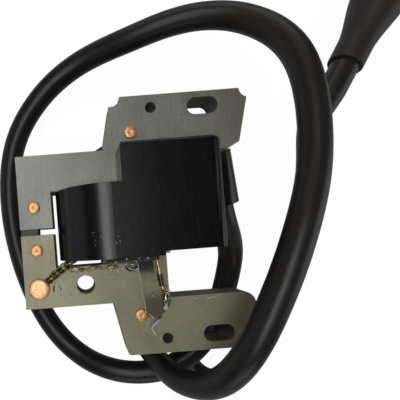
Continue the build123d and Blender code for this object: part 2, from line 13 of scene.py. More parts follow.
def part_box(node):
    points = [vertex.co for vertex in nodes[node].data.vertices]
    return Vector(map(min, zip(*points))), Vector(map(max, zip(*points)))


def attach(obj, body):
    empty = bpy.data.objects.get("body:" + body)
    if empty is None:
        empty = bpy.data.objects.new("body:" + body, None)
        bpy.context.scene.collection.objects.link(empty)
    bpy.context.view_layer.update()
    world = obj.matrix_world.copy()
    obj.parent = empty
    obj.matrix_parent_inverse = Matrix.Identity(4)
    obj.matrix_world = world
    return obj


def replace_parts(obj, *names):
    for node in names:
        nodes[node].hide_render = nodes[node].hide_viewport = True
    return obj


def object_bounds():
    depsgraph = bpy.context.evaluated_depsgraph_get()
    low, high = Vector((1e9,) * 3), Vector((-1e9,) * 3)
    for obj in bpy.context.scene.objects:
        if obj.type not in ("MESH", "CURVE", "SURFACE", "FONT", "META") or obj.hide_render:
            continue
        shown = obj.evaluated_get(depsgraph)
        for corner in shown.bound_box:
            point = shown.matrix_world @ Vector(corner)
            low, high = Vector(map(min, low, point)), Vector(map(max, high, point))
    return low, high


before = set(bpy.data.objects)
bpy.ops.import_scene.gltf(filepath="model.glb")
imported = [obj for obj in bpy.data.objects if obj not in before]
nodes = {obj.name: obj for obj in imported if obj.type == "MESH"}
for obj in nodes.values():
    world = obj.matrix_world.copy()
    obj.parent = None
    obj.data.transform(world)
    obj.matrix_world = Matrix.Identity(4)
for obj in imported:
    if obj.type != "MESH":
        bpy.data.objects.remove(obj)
cad_low, cad_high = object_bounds()

MM = 0.001
rng = random.Random(7)

stack_low, stack_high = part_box("lower_laminations")
FRONT_Z = stack_high.z / MM
case_low, case_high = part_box("coil_case")
CASE_BOTTOM_Y = case_low.y / MM
CASE_FRONT_Z = case_high.z / MM


# ---------------------------------------------------------------- materials
class Paint:
    """A procedural material. Texture places are millimetres of the object's own space."""

    def __init__(self, name, roughness=0.5, metallic=0.0):
        self.material = bpy.data.materials.new(name)
        self.material.use_nodes = True
        self.tree = self.material.node_tree
        self.bsdf = self.tree.nodes["Principled BSDF"]
        self.set("Roughness", roughness)
        self.set("Metallic", metallic)
        coordinates = self.tree.nodes.new("ShaderNodeTexCoord")
        scaled = self.tree.nodes.new("ShaderNodeVectorMath")
        scaled.operation = "SCALE"
        scaled.inputs["Scale"].default_value = 1 / MM
        self.link(coordinates.outputs["Object"], scaled.inputs[0])
        self.place = scaled.outputs[0]

    def link(self, source, target):
        self.tree.links.new(source, target)

    def set(self, socket, value):
        """Give a socket of the surface shader a number, a colour or another node's output."""
        target = self.bsdf.inputs[socket]
        if isinstance(value, bpy.types.NodeSocket):
            self.link(value, target)
        elif isinstance(value, tuple):
            target.default_value = (*value, 1.0)
        else:
            target.default_value = value

    def noise(self, scale, detail=4.0, roughness=0.55, shift=0.0):
        """Noise with its own number of cells per millimetre along each axis."""
        mapping = self.tree.nodes.new("ShaderNodeMapping")
        mapping.inputs["Scale"].default_value = scale
        mapping.inputs["Location"].default_value = (shift, shift, shift)
        texture = self.tree.nodes.new("ShaderNodeTexNoise")
        texture.inputs["Scale"].default_value = 1.0
        texture.inputs["Detail"].default_value = detail
        texture.inputs["Roughness"].default_value = roughness
        self.link(self.place, mapping.inputs["Vector"])
        self.link(mapping.outputs["Vector"], texture.inputs["Vector"])
        return texture.outputs["Fac"]

    def ramp(self, factor, *stops):
        """Colours or greys at rising places of the factor: (place, colour)."""
        node = self.tree.nodes.new("ShaderNodeValToRGB")
        elements = node.color_ramp.elements
        while len(elements) < len(stops):
            elements.new(0.5)
        for element, (place, colour) in zip(elements, stops):
            if not isinstance(colour, tuple):
                colour = (colour, colour, colour)
            element.position = place
            element.color = (*colour, 1.0)
        self.link(factor, node.inputs["Fac"])
        return node.outputs["Color"]

    def mix(self, factor, first, second, blend="MIX"):
        """One colour over another."""
        node = self.tree.nodes.new("ShaderNodeMix")
        node.data_type = "RGBA"
        node.blend_type = blend
        sockets = ((node.inputs[0], factor), (node.inputs[6], first), (node.inputs[7], second))
        for socket, value in sockets:
            if isinstance(value, bpy.types.NodeSocket):
                self.link(value, socket)
            elif isinstance(value, tuple):
                socket.default_value = (*value, 1.0)
            else:
                socket.default_value = value
        return node.outputs[2]

    def along(self, axis, start, end):
        """Grey that rises from 0 to 1 between two places along an axis."""
        split = self.tree.nodes.new("ShaderNodeSeparateXYZ")
        spread = self.tree.nodes.new("ShaderNodeMapRange")
        spread.interpolation_type = "SMOOTHSTEP"
        spread.inputs["From Min"].default_value = start
        spread.inputs["From Max"].default_value = end
        self.link(self.place, split.inputs[0])
        self.link(split.outputs["XYZ".index(axis)], spread.inputs["Value"])
        return spread.outputs["Result"]

    def upright(self):
        """Grey that is 1 on faces that stand along Z and 0 on faces that lie across it."""
        geometry = self.tree.nodes.new("ShaderNodeNewGeometry")
        split = self.tree.nodes.new("ShaderNodeSeparateXYZ")
        size = self.tree.nodes.new("ShaderNodeMath")
        size.operation = "ABSOLUTE"
        self.link(geometry.outputs["True Normal"], split.inputs[0])
        self.link(split.outputs["Z"], size.inputs[0])
        return self.ramp(size.outputs[0], (0.3, 1.0), (0.6, 0.0))

    def bump(self, height, strength, depth):
        """Fine relief, depth in millimetres."""
        node = self.tree.nodes.new("ShaderNodeBump")
        node.inputs["Strength"].default_value = strength
        node.inputs["Distance"].default_value = depth * MM
        self.link(height, node.inputs["Height"])
        self.set("Normal", node.outputs["Normal"])


def lamination_steel(name, dark, light, stain, grain_share):
    """Sheet steel: rolled grain along Y, speckles, thin varnish, painted shade on the upright sheet edges, a
    stain on the right.
    """
    paint = Paint(name, metallic=0.3)
    grain = paint.noise((3.2, 0.22, 3.0), detail=3)
    broad = paint.noise((0.08, 0.06, 0.1), detail=5, shift=3.0)
    mottle = paint.noise((2.6, 2.6, 2.6), detail=5, roughness=0.75, shift=5.0)
    specks = paint.noise((0.9, 1.1, 0.9), detail=7, roughness=0.75, shift=9.0)
    colour = paint.ramp(broad, (0.3, dark), (0.7, light))
    colour = paint.mix(grain_share, colour, paint.ramp(grain, (0.3, 0.32), (0.7, 0.72)), "OVERLAY")
    colour = paint.mix(0.45, colour, paint.ramp(mottle, (0.35, 0.3), (0.65, 0.7)), "OVERLAY")
    colour = paint.mix(paint.along("X", 8.0, 44.0), colour, stain)
    colour = paint.mix(paint.ramp(specks, (0.62, 0.0), (0.7, 0.7)), colour, (0.05, 0.036, 0.017))
    # Painted shade: faces that stand upright, the stamped edges of the sheets, are painted near-black
    # whatever light reaches them.
    colour = paint.mix(paint.upright(), colour, (0.022, 0.02, 0.014))
    paint.set("Base Color", colour)
    paint.set("Roughness", paint.ramp(grain, (0.3, 0.4), (0.7, 0.55)))
    paint.set("Coat Weight", 0.2)
    paint.set("Coat Roughness", 0.25)
    paint.bump(mottle, 0.35, 0.03)
    return paint.material


def copper(name, colour, patina, polish):
    """Peened copper, darker in its hollows."""
    paint = Paint(name, metallic=0.75)
    dents = paint.noise((1.6, 1.6, 1.6), detail=5)
    fine = paint.noise((7.0, 7.0, 7.0), detail=3, shift=4.0)
    paint.set("Base Color", paint.ramp(dents, (0.34, patina), (0.56, colour)))
    paint.set("Roughness", paint.ramp(fine, (0.3, polish), (0.7, polish + 0.15)))
    paint.bump(dents, 0.5, 0.08)
    return paint.material


def case_plastic():
    """Near-black moulding: satin, with faint flow marks and handling scuffs."""
    paint = Paint("case_moulding")
    flow = paint.noise((0.5, 0.08, 0.5), detail=4)
    grain = paint.noise((5.0, 5.0, 5.0), detail=3, shift=2.0)
    scuffs = paint.noise((2.2, 0.25, 2.2), detail=6, roughness=0.7, shift=5.0)
    paint.set("Base Color", paint.ramp(flow, (0.35, (0.0045, 0.0045, 0.0046)), (0.7, (0.008, 0.008, 0.0082))))
    paint.set("Roughness", paint.ramp(scuffs, (0.35, 0.2), (0.7, 0.3)))
    paint.set("Specular IOR Level", 0.42)
    paint.bump(grain, 0.25, 0.01)
    return paint.material


def rubber(name, black, brown, roughness, brown_from, brown_to):
    """Smooth extruded rubber with fine dust; a little browner towards one end of the frame."""
    paint = Paint(name)
    dust = paint.noise((1.5, 1.5, 1.5), detail=7, roughness=0.7)
    bloom = paint.noise((0.07, 0.07, 0.07), detail=3, shift=6.0)
    body = paint.mix(paint.along("X", brown_from, brown_to), black, brown)
    body = paint.mix(paint.ramp(bloom, (0.4, 0.0), (0.7, 0.35)), body, brown)
    body = paint.mix(paint.ramp(dust, (0.66, 0.0), (0.8, 0.3)), body, (0.07, 0.065, 0.06))
    paint.set("Base Color", body)
    paint.set("Roughness", paint.ramp(dust, (0.3, roughness - 0.05), (0.7, roughness + 0.08)))
    paint.set("Specular IOR Level", 0.36)
    paint.bump(dust, 0.2, 0.03)
    return paint.material


def plain_moulding(name, dark, light, roughness, cells=0.8):
    """Quiet mottled surface for paper, fibre, resin and bobbins."""
    paint = Paint(name, roughness=roughness)
    mottle = paint.noise((cells, cells, cells), detail=5)
    paint.set("Base Color", paint.ramp(mottle, (0.3, dark), (0.7, light)))
    paint.bump(mottle, 0.3, 0.06)
    return paint.material


def winding(name, dark, light, turns_per_mm):
    """Enamelled wire laid in turns one above the other along Y, with painted shade in the grooves between
    turns.
    """
    paint = Paint(name, roughness=0.3, metallic=0.8)
    wave = paint.tree.nodes.new("ShaderNodeTexWave")
    wave.bands_direction = "Y"
    wave.inputs["Scale"].default_value = turns_per_mm / 3.2
    wave.inputs["Distortion"].default_value = 0.6
    paint.link(paint.place, wave.inputs["Vector"])
    # Painted light and shade: each turn is painted lighter on its crest and darker in the groove next to it.
    paint.set("Base Color", paint.ramp(wave.outputs["Fac"], (0.1, dark), (0.6, light)))
    paint.bump(wave.outputs["Fac"], 0.8, 0.1)
    return paint.material


def strap_steel():
    """Tinned strap, olive under varnish: a painted shadow of the coil at its top, browner below, bright at
    the hook.
    """
    paint = Paint("strap_steel", metallic=0.1)
    grain = paint.noise((0.4, 0.7, 0.4), detail=5)
    # Ragged edge for the painted shadow of the coil.
    painted_shadow_edge = paint.noise((0.5, 0.5, 0.5), detail=2, shift=3.0)
    colour = paint.ramp(grain, (0.3, (0.2, 0.19, 0.105)), (0.7, (0.3, 0.285, 0.18)))
    colour = paint.mix(paint.along("Y", -19.5, -24.0), colour, (0.1, 0.085, 0.045))
    colour = paint.mix(paint.along("Y", -28.6, -29.4), colour, (0.5, 0.5, 0.45))
    # Painted shadow: where the coil's overhang shades the top of the strap, the strap is painted near-black,
    # with a ragged edge.
    near_coil = paint.along("Y", -16.4, -13.4)
    left_part = paint.along("X", -2.6, -3.4)
    painted_coil_shadow = paint.mix(1.0, near_coil, left_part, "MULTIPLY")
    painted_coil_shadow = paint.mix(1.0, painted_coil_shadow, paint.ramp(painted_shadow_edge, (0.3, 0.0), (0.42, 1.0)), "MULTIPLY")
    colour = paint.mix(painted_coil_shadow, colour, (0.004, 0.004, 0.003))
    paint.set("Base Color", colour)
    paint.set("Roughness", paint.ramp(grain, (0.3, 0.3), (0.7, 0.48)))
    paint.set("Coat Weight", 0.1)
    paint.set("Coat Roughness", 0.1)
    paint.bump(grain, 0.3, 0.05)
    return paint.material


def varnish(name, tint, clear):
    """Dried insulating varnish: glossy, yellowish and partly clear."""
    paint = Paint(name, roughness=0.06)
    cloud = paint.noise((0.9, 0.9, 0.9), detail=4)
    paint.set("Base Color", paint.ramp(cloud, (0.3, tuple(0.55 * c for c in tint)), (0.7, tint)))
    paint.set("Transmission Weight", clear)
    paint.set("IOR", 1.5)
    paint.set("Coat Weight", 0.6)
    paint.bump(cloud, 0.3, 0.1)
    return paint.material


def bright_metal(name, dark, light, roughness):
    """Plated or soldered metal with small ripples."""
    paint = Paint(name, roughness=roughness, metallic=0.95)
    ripple = paint.noise((1.4, 1.4, 1.4), detail=4)
    paint.set("Base Color", paint.ramp(ripple, (0.3, dark), (0.7, light)))
    paint.bump(ripple, 0.4, 0.08)
    return paint.material


upper_steel = lamination_steel(
    "upper_steel",
    dark=(0.21, 0.213, 0.18),
    light=(0.3, 0.302, 0.262),
    stain=(0.17, 0.142, 0.095),
    grain_share=0.3,
)
lower_steel = lamination_steel(
    "lower_steel",
    dark=(0.24, 0.232, 0.135),
    light=(0.335, 0.322, 0.205),
    stain=(0.165, 0.145, 0.085),
    grain_share=0.12,
)
rivet_copper = copper("rivet_copper", (0.92, 0.5, 0.22), (0.62, 0.27, 0.1), 0.38)
ground_copper = copper("ground_copper", (0.95, 0.62, 0.34), (0.78, 0.42, 0.2), 0.38)
case_black = case_plastic()
lead_rubber = rubber(
    "lead_rubber",
    black=(0.012, 0.012, 0.0122),
    brown=(0.019, 0.0162, 0.014),
    roughness=0.36,
    brown_from=8.0,
    brown_to=34.0,
)
boot_rubber = rubber(
    "boot_rubber",
    black=(0.02, 0.018, 0.017),
    brown=(0.026, 0.022, 0.02),
    roughness=0.5,
    brown_from=40.0,
    brown_to=70.0,
)
resin = plain_moulding("cast_resin", (0.012, 0.011, 0.009), (0.03, 0.026, 0.02), 0.2, 0.35)
nylon = plain_moulding("bobbin_nylon", (0.42, 0.38, 0.28), (0.52, 0.48, 0.37), 0.4)
paper = plain_moulding("varnished_paper", (0.3, 0.2, 0.09), (0.42, 0.3, 0.15), 0.55, 2.0)
fibre = plain_moulding("vulcanised_fibre", (0.012, 0.011, 0.008), (0.03, 0.026, 0.018), 0.45, 2.0)
sleeve_black = plain_moulding("varnished_sleeve", (0.018, 0.011, 0.006), (0.05, 0.03, 0.014), 0.2, 1.5)
primary_copper = winding("primary_copper", (0.14, 0.05, 0.015), (0.62, 0.28, 0.1), 1.6)
fine_copper = winding("fine_copper", (0.12, 0.04, 0.012), (0.5, 0.2, 0.07), 6.0)
strand_copper = winding("strand_copper", (0.2, 0.08, 0.03), (0.7, 0.34, 0.15), 3.0)
ground_enamel = bright_metal("ground_enamel", (0.03, 0.022, 0.008), (0.34, 0.29, 0.1), 0.1)
wire_enamel = bright_metal("wire_enamel", (0.4, 0.17, 0.05), (0.95, 0.55, 0.28), 0.18)
brass = bright_metal("clip_brass", (0.5, 0.36, 0.14), (0.72, 0.54, 0.24), 0.25)
spring_steel = bright_metal("spring_plate", (0.4, 0.4, 0.4), (0.62, 0.62, 0.6), 0.2)
solder_metal = bright_metal("solder_metal", (0.16, 0.15, 0.12), (0.5, 0.48, 0.42), 0.14)
strap_metal = strap_steel()
# Pale grey for the strap's bare cut edge, and for a painted highlight on the rim of its punch dimple.
bare_edge_and_glint = plain_moulding("bare_edge_and_glint", (0.42, 0.42, 0.36), (0.62, 0.62, 0.54), 0.35)
pale_varnish = varnish("pale_varnish", (0.8, 0.78, 0.55), 0.12)
film_varnish = varnish("film_varnish", (0.34, 0.35, 0.24), 0.25)
dark_varnish = varnish("dark_varnish", (0.1, 0.095, 0.05), 0.3)
wet_varnish = varnish("wet_varnish", (0.42, 0.38, 0.13), 0.3)

NODE_PAINT = {
    "gap_spacer": fibre,
    "coil_case": case_black,
    "potting": resin,
    "primary_bobbin": nylon,
    "secondary_former": nylon,
    "primary_winding": primary_copper,
    "secondary_winding": fine_copper,
    "primary_insulation": paper,
    "secondary_wrap": paper,
    "hv_contact": brass,
    "secondary_tail": wire_enamel,
    "lead_jacket": lead_rubber,
    "lead_conductor": strand_copper,
    "plug_boot": boot_rubber,
    "plug_terminal": brass,
    "terminal_spring": spring_steel,
    "terminal_insulator": fibre,
    "terminal_strap": strap_metal,
    "primary_wire": wire_enamel,
    "wire_sleeve": sleeve_black,
    "ground_wires": ground_enamel,
}
for node_name, node_material in NODE_PAINT.items():
    mesh = nodes[node_name].data
    mesh.materials.clear()
    mesh.materials.append(node_material)


# ---------------------------------------------------------------- mesh helpers
def add_piece(name, mesh, material, body="root"):
    """Put a finished mesh in the scene, riding on its body."""
    piece = bpy.data.objects.new(name, mesh)
    bpy.context.scene.collection.objects.link(piece)
    mesh.materials.clear()
    mesh.materials.append(material)
    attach(piece, body)
    return piece


def evaluated(name, mesh, modifiers):
    """The mesh after a list of modifiers: (type, settings)."""
    holder = bpy.data.objects.new(name, mesh)
    bpy.context.scene.collection.objects.link(holder)
    for kind, settings in modifiers:
        modifier = holder.modifiers.new(kind.lower(), kind)
        for key, value in settings.items():
            setattr(modifier, key, value)
    graph = bpy.context.evaluated_depsgraph_get()
    result = bpy.data.meshes.new_from_object(holder.evaluated_get(graph))
    bpy.data.objects.remove(holder)
    result.name = name
    return result


def smooth(mesh):
    """Shade every face smooth."""
    for polygon in mesh.polygons:
        polygon.use_smooth = True
    return mesh


def blob(name, balls, voxel, roughen=0.0):
    """One lumpy drop made of squashed balls: (centre, radii). The balls flow together."""
    work = bmesh.new()
    for centre, radii in balls:
        made = bmesh.ops.create_icosphere(work, subdivisions=3, radius=1.0)
        for vertex in made["verts"]:
            lump = 1 + roughen * noise.noise(vertex.co * 1.7 + Vector(centre))
            flat = Vector([c * r for c, r in zip(vertex.co, radii)])
            vertex.co = (Vector(centre) + flat * lump) * MM
    mesh = bpy.data.meshes.new(name)
    work.to_mesh(mesh)
    work.free()
    steps = [
        ("REMESH", {"mode": "VOXEL", "voxel_size": voxel * MM}),
        ("SMOOTH", {"factor": 0.5, "iterations": 5}),
    ]
    return smooth(evaluated(name, mesh, steps))


def smooth_line(points, steps=8):
    """Points along a soft curve through the given ones."""
    line = []
    ends = [points[0], *points, points[-1]]
    for before, start, end, after in zip(ends, ends[1:], ends[2:], ends[3:]):
        for i in range(steps):
            t = i / steps
            curve = (
                2 * start
                + (end - before) * t
                + (2 * before - 5 * start + 4 * end - after) * t**2
                + (3 * start - before - 3 * end + after) * t**3
            )
            line.append(curve / 2)
    line.append(points[-1])
    return line


def tube(name, points, radii, sides=10):
    """Closed tube through points, its radius going from radii[0] over radii[1] to radii[2]."""
    line = smooth_line([Vector(p) for p in points])
    work = bmesh.new()
    rings = []
    side = None
    for i, here in enumerate(line):
        share = i / (len(line) - 1)
        half = 0 if share < 0.5 else 1
        radius = radii[half] + (radii[half + 1] - radii[half]) * (share * 2 - half)
        ahead = (line[min(i + 1, len(line) - 1)] - line[max(i - 1, 0)]).normalized()
        side = ahead.orthogonal() if side is None else side - ahead * side.dot(ahead)
        side.normalize()
        other = ahead.cross(side)
        ring = []
        for k in range(sides):
            angle = 2 * math.pi * k / sides
            offset = side * math.cos(angle) + other * math.sin(angle)
            ring.append(work.verts.new((here + offset * radius) * MM))
        rings.append(ring)
    for ring, following in zip(rings, rings[1:]):
        for k in range(sides):
            n = (k + 1) % sides
            work.faces.new((ring[k], ring[n], following[n], following[k]))
    work.faces.new(list(reversed(rings[0])))
    work.faces.new(rings[-1])
    bmesh.ops.recalc_face_normals(work, faces=work.faces)
    mesh = bpy.data.meshes.new(name)
    work.to_mesh(mesh)
    work.free()
    return smooth(mesh)


def joined(name, meshes):
    """Several meshes as one."""
    work = bmesh.new()
    for mesh in meshes:
        work.from_mesh(mesh)
    result = bpy.data.meshes.new(name)
    work.to_mesh(result)
    work.free()
    return smooth(result)


# ---------------------------------------------------------------- lamination sheets
SHEET_COUNT = 15
SHEET_GAP = 0.035
SHEET_EDGE = 0.07
SHEET_SHIFT = 0.035


def flat_outline(node):
    """The solid's front face as flat points, triangles and outer edges, in millimetres."""
    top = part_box(node)[1].z
    work = bmesh.new()
    work.from_mesh(nodes[node].data)
    others = [f for f in work.faces if f.normal.z < 0.99 or f.calc_center_median().z < top - 0.1 * MM]
    bmesh.ops.delete(work, geom=others, context="FACES")
    bmesh.ops.remove_doubles(work, verts=work.verts, dist=1e-6)
    work.verts.ensure_lookup_table()
    points = [Vector((v.co.x, v.co.y, 0)) / MM for v in work.verts]
    triangles = [[v.index for v in f.verts] for f in work.faces]
    edges = []
    for face in work.faces:
        for loop in face.loops:
            if loop.edge.is_boundary:
                edges.append((loop.vert.index, loop.link_loop_next.vert.index))
    work.free()
    return points, triangles, edges


def inward_steps(points, edges):
    """For each outline point, the step that moves both its edges inwards by one millimetre."""
    sides = {}
    for start, end in edges:
        along = (points[end] - points[start]).normalized()
        inward = Vector((-along.y, along.x, 0))
        sides.setdefault(start, []).append(inward)
        sides.setdefault(end, []).append(inward)
    steps = {}
    for index, inwards in sides.items():
        middle = sum(inwards, Vector()).normalized()
        steps[index] = middle / max(0.5, middle.dot(inwards[0]))
    return steps


def sheet_stack(name, node, material):
    """Stamped sheets filling the stack, each with soft edges and a little out of line with the next."""
    points, triangles, edges = flat_outline(node)
    steps = inward_steps(points, edges)
    pitch = FRONT_Z / SHEET_COUNT
    vertices = []
    faces = []
    for sheet in range(SHEET_COUNT):
        bottom = sheet * pitch
        top = FRONT_Z if sheet == SHEET_COUNT - 1 else bottom + pitch - SHEET_GAP
        shift = Vector((rng.uniform(-1, 1), rng.uniform(-1, 1), 0)) * SHEET_SHIFT
        if sheet == SHEET_COUNT - 1:
            shift = Vector()
        levels = ((top, SHEET_EDGE), (top - SHEET_EDGE, 0), (bottom + SHEET_EDGE, 0), (bottom, SHEET_EDGE))
        base = len(vertices)
        for z, inset in levels:
            for index, point in enumerate(points):
                place = point + shift + steps.get(index, Vector()) * inset + Vector((0, 0, z))
                vertices.append(place * MM)
        count = len(points)
        for a, b, c in triangles:
            faces.append((base + a, base + b, base + c))
            faces.append((base + 3 * count + c, base + 3 * count + b, base + 3 * count + a))
        for level in range(3):
            upper = base + level * count
            lower = upper + count
            for start, end in edges:
                faces.append((upper + end, upper + start, lower + start, lower + end))
    mesh = bpy.data.meshes.new(name)
    mesh.from_pydata(vertices, [], faces)
    piece = add_piece(name, mesh, material)
    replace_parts(piece, node)


sheet_stack("upper_sheets", "upper_laminations", upper_steel)
sheet_stack("lower_sheets", "lower_laminations", lower_steel)


# ---------------------------------------------------------------- rivets
HEAD_SIDES = 40
HEAD_R = 1.95
HEAD_H = 0.7
HEAD_DIMPLE = 0.12
REAR_DIMPLE = 0.1
GROUND_R = 3.25
GROUND_H = 1.3
GROUND_DIMPLE = 0.05
RIM_WOBBLE = 0.035
HEAD_LIFT = 0.07
HEAD_LIFT_LIMIT = 0.02
HEAD_SEAT = 0.01


def rivet_head(work, x, y, face_z, direction, radius, height, dimple):
    """Peened head, turned from its profile, with a hollow in the middle and a rim that isn't quite round."""
    profile = [
        (0.0, height - dimple),
        (radius * 0.12, height - dimple * 0.9),
        (radius * 0.24, height - dimple * 0.1),
        (radius * 0.4, height),
        (radius * 0.78, height - 0.03),
        (radius * 0.93, height - 0.14),
        (radius, height * 0.62),
        (radius * 0.99, height * 0.3),
        (radius * 0.93, 0.0),
    ]
    rings = []
    for share, z in profile:
        ring = []
        for k in range(HEAD_SIDES):
            angle = 2 * math.pi * k / HEAD_SIDES
            place = Vector((math.cos(angle), math.sin(angle), 0)) * share
            wobble = 1
            if share:
                wobble += RIM_WOBBLE * noise.noise(Vector((x, y, 0)) + place.normalized() * 0.9)
            lift = 0
            if z > height * 0.5:
                lift = HEAD_LIFT * noise.noise(Vector((x * 3, y * 3, 0)) + place * 1.6)
            lift = min(lift, HEAD_LIFT_LIMIT)
            point = Vector((x, y, face_z)) + place * wobble + Vector((0, 0, direction * (z + lift)))
            ring.append(work.verts.new(point * MM))
            if not share:
                break
        rings.append(ring)
    for ring, following in zip(rings, rings[1:]):
        for k in range(HEAD_SIDES):
            n = (k + 1) % HEAD_SIDES
            if len(ring) == 1:
                work.faces.new((ring[0], following[k], following[n]))
            else:
                work.faces.new((ring[k], following[k], following[n], ring[n]))
    work.faces.new(rings[-1])


def rivets(name, node, material, front_r, height, dimple):
    """Rivet heads on both faces of the stack, where the node's solids are."""
    work = bmesh.new()
    work.from_mesh(nodes[node].data)
    bmesh.ops.remove_doubles(work, verts=work.verts, dist=1e-6)
    places = []
    for vertex in work.verts:
        point = Vector((vertex.co.x, vertex.co.y)) / MM
        group = next((g for g in places if (g[0] - point).length < 4 * front_r), None)
        if group is None:
            places.append([point, point.copy(), point.copy()])
        else:
            group[1] = Vector(map(min, group[1], point))
            group[2] = Vector(map(max, group[2], point))
    work.clear()
    for _, low, high in places:
        centre = (low + high) / 2
        rivet_head(work, centre.x, centre.y, FRONT_Z + HEAD_SEAT, 1, front_r, height, dimple)
        rivet_head(work, centre.x, centre.y, -HEAD_SEAT, -1, HEAD_R, height, REAR_DIMPLE)
    bmesh.ops.recalc_face_normals(work, faces=work.faces)
    mesh = bpy.data.meshes.new(name)
    work.to_mesh(mesh)
    work.free()
    piece = add_piece(name, smooth(mesh), material)
    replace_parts(piece, node)


rivets("upper_rivet_heads", "upper_stack_rivets", rivet_copper, HEAD_R, HEAD_H, HEAD_DIMPLE)
rivets("lower_rivet_heads", "lower_stack_rivets", rivet_copper, HEAD_R, HEAD_H, HEAD_DIMPLE)
rivets("ground_rivet_heads", "ground_rivet", ground_copper, GROUND_R, GROUND_H, GROUND_DIMPLE)


# ---------------------------------------------------------------- varnish, solder and specks
def varnish_blob(name, balls, material=pale_varnish, voxel=0.16):
    """A drop of varnish."""
    add_piece(name, blob(name, balls, voxel, roughen=0.25), material)


def bead(start, end, radii, count, wander):
    """Balls strung along a line, of uneven size and place."""
    start = Vector(start)
    end = Vector(end)
    balls = []
    for i in range(count):
        share = (i + rng.uniform(-0.3, 0.3)) / max(1, count - 1)
        swell = rng.uniform(0.65, 1.25)
        off = Vector([rng.uniform(-wander, wander) for _ in range(3)])
        balls.append((start.lerp(end, share) + off, [r * swell for r in radii]))
    return balls


arm_edge_z = FRONT_Z + 0.05
coil_edge_y = CASE_BOTTOM_Y - 0.9
drip_y = CASE_BOTTOM_Y - 1.6
FINE_VOXEL = 0.15
WIRE_VOXEL = 0.16
ROOT_VOXEL = 0.18
NOTCH_VOXEL = 0.2
COARSE_VOXEL = 0.22

varnish_blob(
    "arm_edge_varnish",
    bead((-28.8, -12.4, arm_edge_z), (-14.0, -12.6, arm_edge_z), (1.2, 0.75, 0.42), 13, 0.3),
    wet_varnish,
)
varnish_blob(
    "arm_drops",
    bead((-16.8, -13.9, arm_edge_z), (-12.4, -13.5, arm_edge_z), (0.45, 0.85, 0.42), 4, 0.3),
)
varnish_blob(
    "coil_edge_varnish",
    bead((-17.8, coil_edge_y, 12.5), (-2.5, coil_edge_y, 12.0), (1.3, 1.1, 1.2), 13, 0.45),
    dark_varnish,
    COARSE_VOXEL,
)
varnish_blob(
    "notch_varnish",
    [((-9.6, -10.9, 10.4), (2.0, 1.1, 0.8)), ((-8.2, -11.2, 10.8), (1.2, 0.8, 0.7))],
    dark_varnish,
    NOTCH_VOXEL,
)
varnish_blob(
    "notch_film",
    [((-9.6, -11.8, 8.8), (2.2, 1.7, 0.35)), ((-8.6, -11.4, 9.0), (1.6, 1.5, 0.3))],
    film_varnish,
    FINE_VOXEL,
)
varnish_blob(
    "wire_root_varnish",
    [
        ((-29.4, -10.4, 10.9), (1.0, 0.9, 0.9)),
        ((-27.8, -9.8, 11.2), (1.1, 0.8, 1.0)),
        ((-31.0, -11.4, 10.4), (0.9, 1.0, 0.8)),
    ],
    dark_varnish,
    ROOT_VOXEL,
)
varnish_blob(
    "wire_varnish",
    bead((-30.2, -10.7, 10.6), (-35.0, -14.9, 10.2), (1.15, 1.0, 0.85), 7, 0.15),
    wet_varnish,
    WIRE_VOXEL,
)
varnish_blob(
    "coil_edge_drips",
    bead((-16.5, drip_y, 11.5), (-10.5, drip_y - 0.1, 11.0), (0.9, 0.5, 0.6), 6, 0.3),
    wet_varnish,
    WIRE_VOXEL,
)
varnish_blob(
    "tab_varnish",
    bead((0.7, -21.0, 10.9), (-0.4, -26.0, 10.9), (0.7, 0.8, 0.4), 6, 0.2),
    pale_varnish,
    FINE_VOXEL,
)

# Thin tubes laid along edges and over varnish drops. The pale ones are painted highlights: glints of light on
# varnish, on wire and on edges, made in pale varnish.
CURLS = {
    "leg_glint_left": [(8.4, -23.4, 9.6), (9.4, -24.0, 10.0), (10.4, -23.5, 9.6)],
    "leg_glint_right": [
        (12.2, -23.6, 9.6),
        (13.3, -24.3, 10.0),
        (14.4, -23.8, 10.1),
        (15.6, -24.2, 9.9),
        (16.8, -23.7, 9.6),
    ],
    "ground_curl_dark": [(-33.6, -16.7, 9.6), (-34.1, -17.8, 10.0), (-33.9, -18.9, 9.6)],
    "ground_glint_pale": [(-32.4, -16.7, 9.6), (-32.2, -17.8, 10.0), (-32.1, -19.0, 9.6)],
    "ground_thread": [(-32.6, -19.6, 9.6), (-31.6, -20.3, 9.7), (-30.4, -20.6, 9.7), (-29.6, -19.8, 9.6)],
    "middle_thread": [(-12.9, -16.6, 9.6), (-12.2, -17.8, 9.75), (-12.3, -19.2, 9.6)],
    "notch_rim": [
        (-11.8, -10.8, 10.2),
        (-11.2, -12.4, 10.1),
        (-9.8, -13.6, 10.0),
        (-7.9, -13.5, 10.2),
        (-7.4, -12.3, 10.5),
    ],
    "edge_glint_left": [(-27.5, -12.3, 10.1), (-26.6, -12.7, 10.2), (-25.7, -12.3, 10.1)],
    "edge_glint_middle": [(-22.8, -12.2, 10.1), (-21.6, -12.6, 10.2), (-20.6, -12.2, 10.1)],
    "edge_glint_right": [(-16.3, -12.2, 10.1), (-16.0, -13.1, 10.2), (-15.9, -14.0, 10.1)],
    "coil_glint_left": [(-15.8, -10.6, 12.9), (-14.6, -11.0, 13.0), (-13.6, -10.6, 12.9)],
    "coil_glint_right": [(-11.6, -10.7, 12.7), (-10.8, -11.2, 12.8), (-9.8, -10.8, 12.7)],
    "strap_top_rim": [(-7.6, -10.3, 12.4), (-5.6, -11.0, 12.2), (-3.4, -11.0, 12.2), (-2.2, -10.2, 12.4)],
    "hook_glint": [(-5.6, -27.4, 11.3), (-4.6, -28.4, 11.4), (-4.0, -28.8, 11.3)],
}
CURL_RADII = (0.1, 0.24, 0.1)
for curl_name, curl_points in CURLS.items():
    curl_material = dark_varnish if "dark" in curl_name else pale_varnish
    add_piece(curl_name, tube(curl_name, curl_points, CURL_RADII), curl_material)

